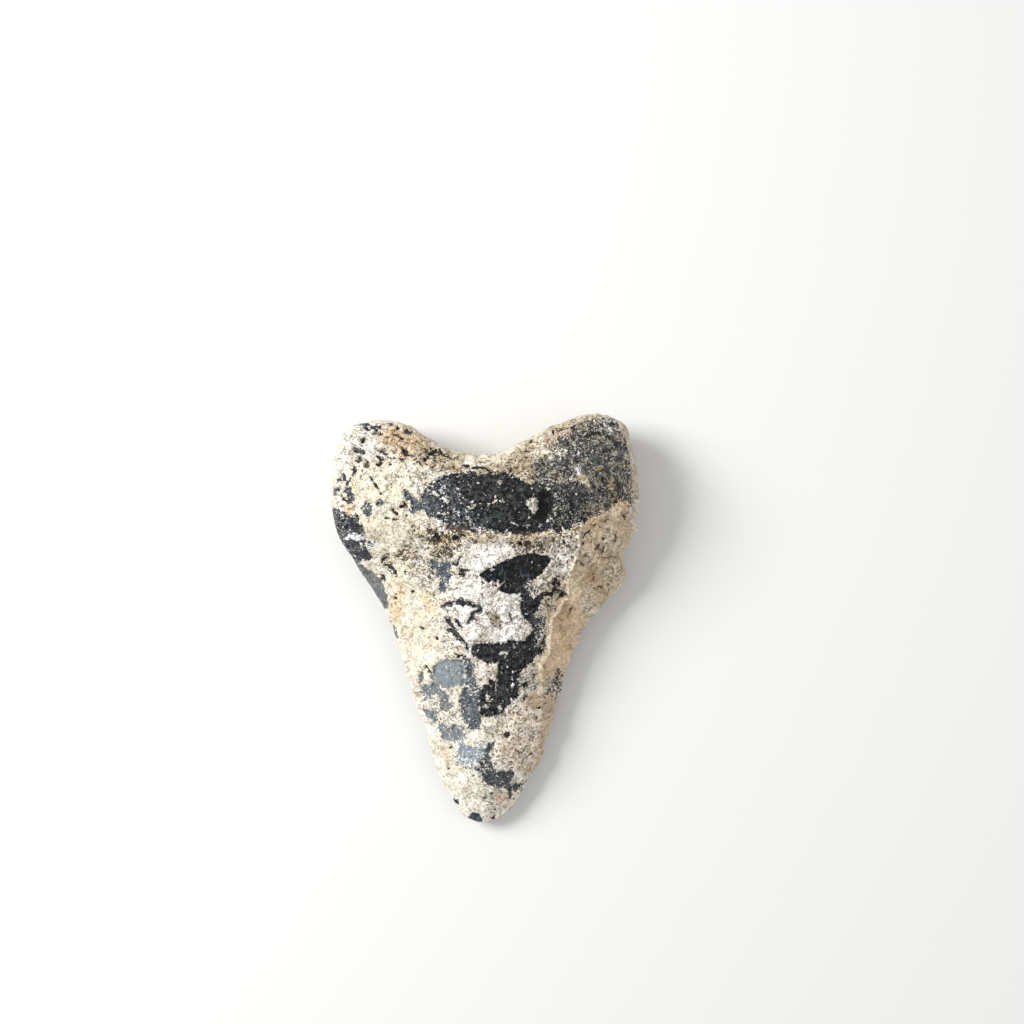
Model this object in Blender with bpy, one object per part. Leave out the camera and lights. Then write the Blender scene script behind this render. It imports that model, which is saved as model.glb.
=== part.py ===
"""Fossil megalodon tooth: one solid, lying on the flat outer face of its crown and root.

The tip points to -Y, the two root lobes to +Y, and the swollen inner face looks up.
The origin is on the resting surface, under the middle of the tooth's box.
Heights and places are worked out in millimetres and written to the mesh in metres.
"""

import bmesh
import bpy
import numpy as np
from mathutils import Vector, noise
from mathutils.geometry import delaunay_2d_cdt

MM = 0.001

# Driving dimensions of the whole tooth, in millimetres.
LENGTH = 85.2
WIDTH = 63.8
THICKNESS = 20.8

# The outline seen from above, tip first and then round by the right-hand side (+X).
TIP = [(-3.9, -41.5), (-1.9, -42.6), (1.1, -42.2), (4.9, -40.2)]
RIGHT_BLADE = [(9.7, -33.2), (12.1, -27.8), (13.9, -21.6), (17.1, -9.2), (19.3, -4.5), (23.2, 1.8)]
RIGHT_SHOULDER = [(28.2, 6.8), (29.5, 9.2), (29.1, 12.3), (29.9, 17.0), (31.4, 20.2)]
RIGHT_LOBE = [(31.9, 26.9), (31.1, 32.6), (29.7, 38.3), (27.4, 41.7), (22.7, 42.6), (18.2, 42.2)]
NOTCH = [(15.9, 40.9), (10.2, 38.3), (5.5, 35.8), (2.2, 34.3), (-2.3, 34.2), (-6.9, 35.6), (-11.5, 37.8)]
LEFT_LOBE = [(-14.9, 39.8), (-18.9, 41.2), (-22.9, 41.3), (-27.6, 39.9), (-31.1, 36.0), (-32.1, 30.9)]
LEFT_SHOULDER = [(-31.7, 24.1), (-29.8, 18.0), (-27.3, 13.8), (-25.6, 9.8), (-22.3, 4.4)]
LEFT_BLADE = [(-18.8, -3.2), (-15.4, -14.2), (-11.6, -26.1), (-9.3, -33.0), (-6.7, -37.9)]
OUTLINE = TIP + RIGHT_BLADE + RIGHT_SHOULDER + RIGHT_LOBE + NOTCH + LEFT_LOBE + LEFT_SHOULDER + LEFT_BLADE

# The ledge where the root ends and the crown's collar begins, as (x, y) from left to right.
LEDGE = [(-30.0, 16.0), (-14.0, 15.4), (0.0, 17.2), (8.0, 17.6), (18.0, 19.8), (32.0, 24.6)]
LEDGE_AT_CENTRE = 16.8

# Side view down the middle of the tooth, as (y, z): the crest of the inner face, the height
# of the edge all round, and the outer face that it lies on.
CREST = [(-43.0, 4.4), (-38.0, 6.0), (-30.0, 8.4), (-20.0, 10.6), (-10.0, 12.6), (0.0, 14.6), (8.0, 16.2),
         (13.5, 17.0), (16.5, 17.7), (19.0, 19.6), (23.5, 20.9), (29.0, 20.2), (36.0, 18.4), (43.0, 16.6)]
EDGE = [(-43.0, 2.8), (-34.0, 3.1), (-15.0, 3.7), (0.0, 4.2), (9.0, 5.0), (17.0, 7.0), (26.0, 8.6),
        (43.0, 8.4)]
OUTER_FACE = [(-43.0, 1.3), (-34.0, 0.5), (-22.0, 0.3), (-8.0, 0.7), (6.0, 1.0), (18.0, 0.7), (28.0, 0.3),
              (43.0, 0.8)]

# How far in from the edge each face goes on rising or falling.
ROOT_ROUNDING_INNER = 11.5
ROOT_ROUNDING_OUTER = 7.5
CROWN_ROUNDING_INNER = 0.88     # share of the crown's half width
CROWN_ROUNDING_OUTER = 0.80
ROOT_BLEND = (9.0, 19.0)        # y over which a lens-shaped crown section becomes a round-edged root

LOBE_DROP = 3.4                 # the lobes' crests are lower than the middle of the root
LOBE_REACH = 27.0               # distance from the middle at which that drop is whole
SLAB_HEIGHT = 1.0               # thick crust along the crown's right-hand flank
SLAB_BORDER = [(8.5, -35.6), (11.3, -28.6), (12.6, -16.6), (13.3, -4.2), (15.6, 4.6), (16.8, 8.4),
               (19.5, 15.0), (24.0, 21.0)]
SLAB_STEP = 1.6                 # width over which the crust climbs to its height
SLAB_ENDS = (-31.0, -20.0, 17.0, 22.0)    # y where it starts, is whole, starts to fade and is gone
# Low knobs of crust: centre, radius and height.
KNOBS = [((27.2, 9.6), 3.8, 1.6), ((29.8, 20.0), 2.6, 0.9), ((-28.0, 33.4), 6.0, 0.6)]
LUMPS = [(13.0, 0.45), (6.0, 0.22)]       # wavelength and height of the weathered surface's waves
LUMPS_OUTER = 0.6                         # share of them on the outer face

# Flat pads that the tooth lies on: centre, radius of the dip and its depth.
PADS = [((-20.5, 28.0), 8.5, 1.7), ((21.0, 28.5), 8.5, 1.7), ((-1.0, -22.0), 7.5, 1.7)]

# Spacing of the mesh's points.
EDGE_SPACING = 1.55
RING_DEPTHS = [0.14, 0.5, 1.15, 2.1, 3.4, 4.9]
GRID_SPACING = 1.62
SMOOTHING_PASSES = 3

CRUST_COLOUR = (0.56, 0.50, 0.40, 1.0)
CRUST_ROUGHNESS = 0.8


def curve_through(points, closed, steps=24):
    """A smooth curve through points, as an array of places along it."""
    pts = np.array(points, dtype=float)
    if closed:
        ends = np.vstack([pts[-1:], pts, pts[:2]])
    else:
        ends = np.vstack([2 * pts[0] - pts[1], pts, 2 * pts[-1] - pts[-2]])
    t = np.linspace(0.0, 1.0, steps, endpoint=False)[:, None]
    spans = []
    for a, b, c, d in zip(ends, ends[1:], ends[2:], ends[3:]):
        spans.append(0.5 * (2 * b + (c - a) * t + (2 * a - 5 * b + 4 * c - d) * t ** 2
                            + (3 * b - a - 3 * c + d) * t ** 3))
    curve = np.vstack(spans)
    return curve if closed else np.vstack([curve, pts[-1:]])


def profile(points, at):
    """Height of a side-view curve at each place in at."""
    curve = curve_through(points, closed=False)
    return np.interp(at, curve[:, 0], curve[:, 1])


def smooth_step(low, high, value):
    """0 below low, 1 above high, and a soft slope between."""
    t = np.clip((value - low) / (high - low), 0.0, 1.0)
    return t * t * (3.0 - 2.0 * t)


def fitted_outline():
    """The outline as evenly spaced points, stretched to the driving width and length."""
    curve = curve_through(OUTLINE, closed=True)
    low, high = curve.min(axis=0), curve.max(axis=0)
    curve = (curve - (low + high) / 2) * np.array([WIDTH, LENGTH]) / (high - low)
    loop = np.vstack([curve, curve[:1]])
    walked = np.concatenate([[0.0], np.cumsum(np.linalg.norm(np.diff(loop, axis=0), axis=1))])
    count = round(walked[-1] / EDGE_SPACING)
    stops = np.linspace(0.0, walked[-1], count, endpoint=False)
    return np.column_stack([np.interp(stops, walked, loop[:, k]) for k in (0, 1)])


def distance_to_edge(outline, points):
    """Shortest distance from each point to the outline."""
    start = outline[None, :, :]
    run = np.roll(outline, -1, axis=0)[None, :, :] - start
    to_point = points[:, None, :] - start
    share = np.clip((to_point * run).sum(axis=2) / (run * run).sum(axis=2), 0.0, 1.0)
    return np.linalg.norm(to_point - run * share[:, :, None], axis=2).min(axis=1)


def is_inside(outline, points):
    """Whether each point lies inside the outline, by counting the edges east of it."""
    x1, y1 = outline.T
    x2, y2 = np.roll(outline, -1, axis=0).T
    px, py = points[:, 0, None], points[:, 1, None]
    spans = (y1 > py) != (y2 > py)
    crossing = x1 + (py - y1) * (x2 - x1) / np.where(y2 == y1, 1e-9, y2 - y1)
    return ((spans & (px < crossing)).sum(axis=1) % 2) == 1


def plan_points(outline):
    """Points inside the outline: rings that follow the edge, then an even grid over the middle."""
    along = np.roll(outline, -1, axis=0) - np.roll(outline, 1, axis=0)
    inward = np.column_stack([-along[:, 1], along[:, 0]])
    inward /= np.linalg.norm(inward, axis=1)[:, None]
    kept = []
    for depth in RING_DEPTHS:
        ring = outline + inward * depth
        ring = ring[distance_to_edge(outline, ring) > depth * 0.98]
        last = None
        for point in ring:
            if last is None or np.linalg.norm(point - last) > EDGE_SPACING * 0.6:
                kept.append(point)
                last = point
    row_height = GRID_SPACING * 3 ** 0.5 / 2
    rows = np.arange(-LENGTH / 2, LENGTH / 2, row_height)
    columns = np.arange(-WIDTH / 2, WIDTH / 2, GRID_SPACING)
    grid = np.array([(x + GRID_SPACING / 2 * (k % 2), y) for k, y in enumerate(rows) for x in columns])
    grid = grid[is_inside(outline, grid)]
    deep_enough = distance_to_edge(outline, grid) > RING_DEPTHS[-1] + GRID_SPACING * 0.7
    return np.vstack([np.array(kept), grid[deep_enough]])


def half_width(outline, y):
    """Half the crown's width at each y below the shoulders."""
    crown = outline[outline[:, 1] < ROOT_BLEND[1]]
    right = crown[crown[:, 0] > -1.8]
    left = crown[crown[:, 0] < -1.8]
    right = right[np.argsort(right[:, 1])]
    left = left[np.argsort(left[:, 1])]
    return (np.interp(y, right[:, 1], right[:, 0]) - np.interp(y, left[:, 1], left[:, 0])) / 2


def rounding(outline, points, depth, root_reach, crown_share):
    """0 at the edge to 1 where the face has its full height."""
    x, y = points.T
    crown_reach = np.maximum(half_width(outline, y) * crown_share, 1.5)
    in_root = smooth_step(*ROOT_BLEND, y)
    reach = crown_reach + (root_reach - crown_reach) * in_root
    short = 1.0 - np.clip(depth / reach, 0.0, 1.0)
    lens = 1.0 - short ** 2
    round_edge = np.sqrt(1.0 - short ** 2)
    return lens + (round_edge - lens) * in_root


def waves(points, side):
    """Gentle weathered lumps, different on each face."""
    total = np.zeros(len(points))
    for wavelength, height in LUMPS:
        places = points / wavelength
        total += [height * noise.noise(Vector((x, y, side + wavelength))) for x, y in places]
    return total


def inner_face(outline, points, depth):
    """Heights of the swollen face that looks up."""
    x, y = points.T
    along = y - (profile(LEDGE, x) - LEDGE_AT_CENTRE) * smooth_step(-12.0, 10.0, y)
    in_root = smooth_step(*ROOT_BLEND, y)
    crest = profile(CREST, along) - LOBE_DROP * in_root * smooth_step(0.0, LOBE_REACH, np.abs(x))
    rise = rounding(outline, points, depth, ROOT_ROUNDING_INNER, CROWN_ROUNDING_INNER)
    border = curve_through(SLAB_BORDER, closed=False)
    past_border = x - np.interp(y, border[:, 1], border[:, 0])
    start, whole, fading, gone = SLAB_ENDS
    slab = smooth_step(0.0, SLAB_STEP, past_border) * smooth_step(start, whole, y)
    slab *= 1.0 - smooth_step(fading, gone, y)
    extra = SLAB_HEIGHT * slab + waves(points, 0.0)
    for centre, radius, height in KNOBS:
        extra += height * np.exp(-((points - centre) ** 2).sum(axis=1) / radius ** 2)
    edge = profile(EDGE, y)
    return edge + (crest + extra - edge) * rise


def outer_face(outline, points, depth):
    """Heights of the flat face that it lies on, level with the surface at the pads."""
    y = points[:, 1]
    fall = rounding(outline, points, depth, ROOT_ROUNDING_OUTER, CROWN_ROUNDING_OUTER)
    low = profile(OUTER_FACE, y) + LUMPS_OUTER * waves(points, 5.0)
    for centre, radius, dip in PADS:
        low -= dip * np.exp(-((points - centre) ** 2).sum(axis=1) / radius ** 2)
    edge = profile(EDGE, y)
    return np.maximum(edge + (low - edge) * fall, 0.0)


def add_face_sheet(bm, rim, plan, triangles, heights, looks_up):
    """One face of the tooth, sewn to the rim's own vertices."""
    inner = [bm.verts.new((x * MM, y * MM, z * MM)) for (x, y), z in zip(plan[len(rim):], heights[len(rim):])]
    verts = rim + inner
    for a, b, c in triangles:
        corners = (a, b, c) if looks_up else (a, c, b)
        bm.faces.new([verts[k] for k in corners])
    return inner


def tooth_mesh():
    """The closed surface of the tooth."""
    outline = fitted_outline()
    count = len(outline)
    points = np.vstack([outline, plan_points(outline)])
    ring = [(k, (k + 1) % count) for k in range(count)]
    plan, _, faces, origin, _, _ = delaunay_2d_cdt([Vector(p) for p in points], ring, [], 1, 1e-5)
    place = {sources[0]: k for k, sources in enumerate(origin)}
    triangles = [[origin[k][0] for k in face] for face in faces]
    assert len(place) == len(points) == len(plan)

    depth = distance_to_edge(outline, points)
    up = inner_face(outline, points, depth)
    down = outer_face(outline, points, depth)
    scale = THICKNESS / up.max()

    bm = bmesh.new()
    rim_heights = profile(EDGE, outline[:, 1]) * scale
    rim = [bm.verts.new((x * MM, y * MM, z * MM)) for (x, y), z in zip(outline, rim_heights)]
    top = add_face_sheet(bm, rim, points, triangles, up * scale, looks_up=True)
    add_face_sheet(bm, rim, points, triangles, down * scale, looks_up=False)
    for _ in range(SMOOTHING_PASSES):
        bmesh.ops.smooth_vert(bm, verts=top, factor=0.35, use_axis_z=True)
    bmesh.ops.recalc_face_normals(bm, faces=bm.faces)
    mesh = bpy.data.meshes.new("megalodon_tooth")
    bm.to_mesh(mesh)
    bm.free()
    return mesh


def crust_material():
    """Pale lime crust over dark enamel."""
    material = bpy.data.materials.new("fossil_crust")
    material.use_nodes = True
    shader = material.node_tree.nodes["Principled BSDF"]
    shader.inputs["Base Color"].default_value = CRUST_COLOUR
    shader.inputs["Roughness"].default_value = CRUST_ROUGHNESS
    shader.inputs["Metallic"].default_value = 0.0
    return material


for old in list(bpy.data.objects):
    bpy.data.objects.remove(old, do_unlink=True)

tooth = bpy.data.objects.new("megalodon_tooth", tooth_mesh())
tooth.data.materials.append(crust_material())
tooth.data.shade_smooth()
bpy.context.scene.collection.objects.link(tooth)
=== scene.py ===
"""A fossil megalodon tooth: lime crust over dark enamel and bone, lying face up on a pale table."""

import math

import bmesh
import bpy
import numpy as np
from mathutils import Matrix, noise


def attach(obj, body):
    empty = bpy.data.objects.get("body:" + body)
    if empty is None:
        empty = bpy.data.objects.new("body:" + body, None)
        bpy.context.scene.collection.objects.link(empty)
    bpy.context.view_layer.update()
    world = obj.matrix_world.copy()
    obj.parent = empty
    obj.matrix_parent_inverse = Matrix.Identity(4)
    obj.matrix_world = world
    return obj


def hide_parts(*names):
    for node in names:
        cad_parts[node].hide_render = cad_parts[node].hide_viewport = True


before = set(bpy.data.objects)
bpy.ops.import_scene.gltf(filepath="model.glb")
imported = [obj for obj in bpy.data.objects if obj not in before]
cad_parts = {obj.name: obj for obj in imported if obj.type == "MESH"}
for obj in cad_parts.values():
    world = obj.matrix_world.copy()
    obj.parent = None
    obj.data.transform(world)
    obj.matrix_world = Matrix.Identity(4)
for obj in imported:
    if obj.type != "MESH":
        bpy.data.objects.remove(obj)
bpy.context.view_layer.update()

MM = 0.001

# ------------------------------
# The tooth: one fossil piece, a crown of enamel on a root of bone, both under a crust of lime
# that the sea bed left. The crust is chipped away in patches, so the dark enamel and the black
# porous bone show through, a little lower than the crust around them.
# ------------------------------

SKIN_SPACING = 0.27           # distance between the skin's points
SKIN_ROUNDS = 3               # rounds of easing that take the steps out of the new skin
SKIN_TRIANGLES = 196000       # kept by thinning the underside, which lies on the table
UNDERSIDE_FACING = -0.25      # skin whose direction points further down than this is underside
WELD = 0.001                  # points of the solid closer than this are one point

cad_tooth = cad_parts["megalodon_tooth"]
tooth = bpy.data.objects.new("tooth", cad_tooth.data.copy())
bpy.context.scene.collection.objects.link(tooth)


def bake_modifiers(thing):
    """Turns an object's modifiers into its own mesh."""
    evaluated = thing.evaluated_get(bpy.context.evaluated_depsgraph_get())
    finished = bpy.data.meshes.new_from_object(evaluated)
    thing.modifiers.clear()
    thing.data = finished


solid = bmesh.new()
solid.from_mesh(tooth.data)
bmesh.ops.remove_doubles(solid, verts=solid.verts, dist=WELD * MM)
solid.to_mesh(tooth.data)
solid.free()
rounder = tooth.modifiers.new("rounder", "SUBSURF")
rounder.levels = 2
rounder.render_levels = 2
skin = tooth.modifiers.new("skin", "REMESH")
skin.mode = "VOXEL"
skin.voxel_size = SKIN_SPACING * MM
skin.use_smooth_shade = True
easing = tooth.modifiers.new("easing", "SMOOTH")
easing.factor = 0.5
easing.iterations = SKIN_ROUNDS
bake_modifiers(tooth)


def vectors(source, field):
    """A mesh's vectors, one row each."""
    values = np.empty(len(source) * 3, np.float32)
    source.foreach_get(field, values)
    return values.reshape(-1, 3).astype(float)


underside = np.flatnonzero(vectors(tooth.data.vertex_normals, "vector")[:, 2] < UNDERSIDE_FACING)
tooth.vertex_groups.new(name="underside").add(underside.tolist(), 1.0, "REPLACE")
thinner = tooth.modifiers.new("thinner", "DECIMATE")
thinner.vertex_group = "underside"
thinner.vertex_group_factor = 1.0
thinner.ratio = SKIN_TRIANGLES / sum(len(face.vertices) - 2 for face in tooth.data.polygons)
bake_modifiers(tooth)
tooth.vertex_groups.clear()

count = len(tooth.data.vertices)
places = vectors(tooth.data.vertices, "co") / MM
facing = vectors(tooth.data.vertex_normals, "vector")
edges = np.empty(len(tooth.data.edges) * 2, np.int32)
tooth.data.edges.foreach_get("vertices", edges)
edges = edges.reshape(-1, 2)
neighbours = np.bincount(edges.ravel(), minlength=count)


def eased(values, rounds):
    """Each value drawn towards its neighbours' mean, over and over."""
    for _ in range(rounds):
        total = np.bincount(edges[:, 0], values[edges[:, 1]], count)
        total += np.bincount(edges[:, 1], values[edges[:, 0]], count)
        values = (values + total / neighbours) / 2
    return values


def step(low, high, value):
    """0 below low, 1 above high, and a soft slope between."""
    share = np.clip((value - low) / (high - low), 0.0, 1.0)
    return share * share * (3.0 - 2.0 * share)


SEED_STRIDE = 17.3            # how far apart two seeds' waves are taken from the endless noise


def ripple(wavelength, seed):
    """Smooth random waves over the tooth, from about -1 to 1; each seed gives waves of its own."""
    spots = places / wavelength + seed * SEED_STRIDE
    return np.array([noise.noise(spot) for spot in spots])


FAR_OUTSIDE = 6.0             # beyond this a stroke's depth is not worked out


def depth_in(plan, stroke):
    """How deep each point lies inside a stroke of (x, y, radius), in millimetres."""
    spots = list(stroke) if len(stroke) > 1 else [stroke[0], stroke[0]]
    reach = max(spot[2] for spot in spots) + FAR_OUTSIDE
    low = np.min(spots, axis=0)[:2] - reach
    high = np.max(spots, axis=0)[:2] + reach
    near = np.flatnonzero(np.all((plan > low) & (plan < high), axis=1))
    deepest = np.full(len(near), -FAR_OUTSIDE)
    for (ax, ay, ar), (bx, by, br) in zip(spots, spots[1:]):
        run = np.array([bx - ax, by - ay])
        share = np.clip((plan[near] - (ax, ay)) @ run / max(run @ run, 1e-9), 0.0, 1.0)
        gap = np.linalg.norm(plan[near] - (ax, ay) - share[:, None] * run, axis=1)
        deepest = np.maximum(deepest, ar + (br - ar) * share - gap)
    depth = np.full(len(plan), -FAR_OUTSIDE)
    depth[near] = deepest
    return depth


def depth_in_any(plan, strokes):
    """Depth inside the deepest of several strokes."""
    return np.max([depth_in(plan, stroke) for stroke in strokes], axis=0)


# Bare places on the upper face, as strokes of (x, y, radius) by what shows there.
ROOT_BONE = [
    [(-11, 24.2, 2), (-8, 24.7, 4.8), (-3, 24.4, 6), (3, 24, 6.3), (7.5, 23, 5.7), (15, 23, 4.8),
     (20, 24.3, 4), (26, 27.2, 3.2), (28.4, 31, 1.8)],
    [(-9.4, 20.2, 0.8), (-7, 19, 1), (-3, 19, 1)],
]
FROSTED_BONE = [
    [(-11, 24.2, 2), (-8.4, 24.2, 3.6), (-6, 21.5, 3.2)],
    [(-8, 20.4, 1.8), (-4, 19.8, 1.4), (0, 19.4, 1.2)],
]
WORN_BONE = [
    [(15.5, 23.6, 4.6), (20, 24.6, 4.2), (24.6, 26.4, 3.4)],
]
POROUS_BONE = [
    [(12.2, 30, 1.4), (15, 31.6, 2.6), (18.4, 33.4, 4.2), (22, 34.6, 5.4), (25.4, 33.8, 5)],
    [(14.5, 35.6, 1.2), (18.6, 37.6, 2), (23, 39, 2.4), (26.2, 39.4, 2.2)],
    [(17, 29.4, 2), (23, 29.8, 3), (27.4, 30, 3.2)],
    [(28, 34, 2.4), (28.6, 27.6, 2.4), (29.6, 25.6, 1.5)],
]
VESSEL_HOLE = [
    [(12.6, 24.9, 1.2), (12.5, 23, 1.5), (12.2, 21.2, 1.2)],
]
SLATE_BONE = [
    [(-11.4, 23.6, 1.4), (-13.2, 23.6, 1.1), (-15, 24, 0.8), (-16.2, 25.6, 0.7), (-16.8, 26.5, 0.35)],
    [(-13.8, 23.2, 0.8), (-15.4, 22.1, 0.5)],
    [(-25.3, 23, 0.5), (-24.5, 23.1, 0.9), (-24.2, 22.3, 0.9), (-24, 21.7, 0.6)],
    [(-22.2, 23.9, 0.5), (-21.6, 24.2, 0.6), (-21.3, 23.8, 0.5), (-21.9, 23.4, 0.5)],
    [(-30.6, 26.5, 0.5), (-30.7, 25.9, 0.4)],
    [(-28.9, 26.1, 0.5), (-28.2, 26.2, 0.7), (-27.6, 25.3, 0.6), (-27.4, 24.7, 0.4)],
    [(-29.4, 29.4, 0.4), (-29.4, 29, 0.4)],
]
SHOULDER = [
    [(-31.2, 22.4, 0.5), (-30.6, 21.4, 0.9), (-29.6, 20.2, 1.6), (-28, 19.6, 1.6), (-26.7, 20.4, 0.9)],
    [(-30.2, 18.8, 1.6), (-29.2, 17, 1.5), (-27.8, 15.4, 1.3), (-26, 14.2, 1.2), (-24.6, 13, 0.9),
     (-23.8, 12.6, 0.5)],
    [(-27.4, 18.8, 1.1), (-26, 18.6, 0.8), (-25.2, 17.7, 0.4)],
    [(-27.6, 13, 0.8), (-26.6, 12, 0.9)],
]
FROSTED_SHOULDER = [
    [(-28, 17, 0.5), (-26.8, 17.1, 0.9), (-25.2, 17, 0.6)],
    [(-25.2, 15.2, 0.5), (-24.2, 14.8, 0.9), (-23.4, 15.2, 0.5)],
]
BLADE_STRIP = [
    [(-26.8, 11.6, 0.7), (-25.8, 10.2, 1.3), (-24.4, 8.4, 1.8), (-22.8, 6.4, 1.7), (-21.6, 4.4, 1.2),
     (-20.6, 2.4, 0.8)],
    [(-19.8, -0.6, 0.4), (-18.8, -2.6, 0.5), (-18.2, -4.6, 0.4)],
]
# Brown stains; the first stroke, along the ledge's foot at the left, is partly a painted shadow under the
# crust's lip.
BROWN_STAIN_AND_LEDGE_SHADOW = [
    [(-14, 17.8, 1), (-9.5, 16.6, 2), (-5, 16.4, 1.5), (-1.5, 16, 0.6)],
    [(-20, 12.6, 0.7), (-18, 13.2, 0.9), (-15.6, 13.8, 0.6)],
    [(-9.6, 14, 1.4), (-7.6, 13.4, 1.1)],
    [(-11.2, 8.6, 1)],
    [(5, 15.6, 0.5), (8, 15.4, 1), (11, 15, 1.3), (13, 14.2, 0.7)],
    [(14.6, 8, 0.8), (15.2, 6.2, 1.3), (15.6, 4.8, 0.8)],
    [(14, 15.6, 0.9), (16.4, 15.2, 0.9)],
    [(10.2, -12.8, 1.1), (10.8, -14.2, 0.8)],
    [(12.3, -15.8, 0.6), (13.3, -15.4, 0.9), (14.3, -14.4, 0.9), (15.2, -12.6, 0.8), (15.8, -11, 0.5)],
    [(-11, 34, 0.8), (-9, 33.8, 0.8)],
]
DARK_ENAMEL = [
    [(2.4, 7.6, 0.9), (3.2, 6.6, 0.9)],
    [(-0.2, 8.9, 0.7), (1.6, 9, 1.5), (4.2, 9.3, 2.4), (7.5, 10.5, 2.6), (10.6, 11, 2.3),
     (12.6, 11.8, 1.3), (13.7, 12.1, 0.4)],
    [(3.6, 7.2, 1.5), (5.2, 6.6, 1.8), (6.8, 6.4, 1.5)],
    [(6.6, 7.8, 1.1), (8.2, 7.6, 1), (8.3, 6.2, 0.8)],
    [(9.6, 8.6, 1), (11.4, 9.4, 0.9)],
    [(10.2, 2, 0.9), (11, 3.6, 0.7), (12, 4.7, 0.6), (13, 5.1, 0.5), (13.8, 4.8, 0.4)],
]
SPECKLED_ENAMEL = [
    [(8, 6.8, 0.7), (8.4, 5.4, 0.9), (8.8, 4, 1.2), (8.9, 2.4, 1.5), (9.2, 1, 1.4), (9.6, -0.2, 0.9)],
    [(10.6, -1, 1), (11.4, -2.4, 1.2), (11.3, -4.4, 1.3), (11, -6.2, 1.4)],
    [(10.2, -3.4, 0.8), (9.4, -5.2, 1)],
    [(-1.6, -6.8, 1.4), (1, -7.4, 2), (4, -7.2, 2.1), (7, -7, 2.5), (9.2, -6.8, 2.2), (11, -6, 1.6)],
    [(8.6, -8.2, 1.8), (6.6, -9.6, 1.9), (4.8, -10.4, 2), (4.6, -12.6, 2.1), (4.2, -15, 2.1),
     (3.6, -17.2, 2), (2.2, -18.8, 1.7), (0.6, -19.2, 1.5)],
    [(6.4, -11, 1.2), (6.2, -12.6, 0.9), (6.4, -14.6, 0.8), (6.3, -16.4, 0.6)],
    [(1.6, -13.4, 0.9), (1.2, -15, 1.6), (-0.4, -16.6, 1.7), (-0.2, -18.6, 1.5)],
    [(-2.4, -15.4, 0.9), (-1.4, -17, 0.9), (-1, -19, 0.9)],
    [(-1.4, -20.2, 0.5), (-1.2, -21.8, 0.45), (-1.3, -23, 0.4)],
]
TIP_ENAMEL = [
    [(1.9, -26, 0.4), (1.1, -26.6, 0.6), (0.7, -28, 0.45), (0.6, -29.4, 0.45)],
    [(-0.6, -30.2, 0.35), (0.2, -31.6, 0.5), (1.4, -33.2, 0.8), (2.4, -34, 1)],
    [(0.4, -29.8, 0.5), (0.8, -31, 0.5), (1.8, -32.4, 0.6)],
    [(-1.3, -31.6, 0.3), (-0.4, -32.6, 0.35), (1, -34, 0.4), (3, -35, 0.6)],
    [(2.6, -33.4, 1.2), (4.2, -33.6, 1.6), (5.2, -32.8, 1.1), (6, -32.4, 0.6)],
    [(4.6, -35.2, 0.7), (5.8, -35.6, 0.8), (6.8, -35.2, 0.6), (7.6, -34.7, 0.3)],
    [(5.4, -36.4, 0.5), (5.5, -37.3, 0.3)],
    [(-2.7, -41.3, 0.6), (-1.8, -41.5, 0.8), (-1, -42, 0.5)],
]
PATCHY_ENAMEL = [
    [(11.6, -0.4, 0.7), (11.4, -1.8, 1), (11.7, -3.4, 0.9), (11.8, -5.2, 0.8)],
    [(9.6, 6.6, 0.7), (10.4, 5.6, 0.6)],
    [(12.8, -15.6, 0.5), (14.3, -14.3, 0.6), (15.4, -12.2, 0.5)],
]
BLUE_ENAMEL = [
    [(-4, -8.8, 0.8), (-3.2, -10.4, 1), (-3.1, -12.8, 1.2), (-3, -14.6, 1.5), (-3, -16.4, 1.8)],
    [(-3.6, -16.4, 1.6), (-3.4, -18.6, 1.7), (-3, -20.6, 1.5), (-2.4, -22.2, 1)],
    [(-11, 11.4, 0.5), (-9.8, 10.8, 0.9), (-8.2, 10.4, 1.3)],
    [(-8.4, 9.4, 1.4), (-8.2, 8, 1.1)],
    [(-8.8, 7, 0.8), (-8.9, 5.8, 0.6)],
]
GREY_ENAMEL = [
    [(-9.6, -11, 1.5), (-7.8, -11.8, 2.8), (-6.6, -11.8, 2.8)],
    [(-5.4, -9.8, 0.9), (-5.2, -13, 1.2)],
]
SMOKY_ENAMEL = [
    [(-10.4, -14.4, 0.9), (-11.6, -15.2, 1.1), (-12.4, -15.4, 0.8)],
    [(-13, -12.8, 0.5), (-12.9, -11, 0.3)],
    [(-12, -16.4, 0.6), (-11.8, -15.6, 0.6)],
    [(-9.4, -15.6, 0.9), (-8.4, -17.1, 1.4), (-8, -18.3, 0.9)],
    [(-12, -19.8, 0.8), (-11.2, -20.3, 1), (-10.5, -21.2, 0.5)],
    [(-9, -22.8, 0.9), (-7.8, -24, 1.3), (-6.4, -23.9, 1.5), (-5.4, -24.9, 1.1), (-5, -25.6, 0.7)],
]
FROSTED_ENAMEL = [
    [(-4.6, -26.6, 1), (-3.8, -28.4, 1.9), (-1.8, -28.6, 1.9), (-0.4, -28, 1.3)],
    [(-4.9, -29.9, 0.9), (-4, -30, 0.8)],
]
LICHEN_BONE = [
    [(22, 22.4, 1.8), (25, 24.4, 2)],
    [(23.6, 27.6, 1.8), (26.4, 29.4, 2.2), (27.4, 31.4, 1.6)],
    [(25.6, 38.4, 1.3), (27.4, 37.6, 1.2)],
]
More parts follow.
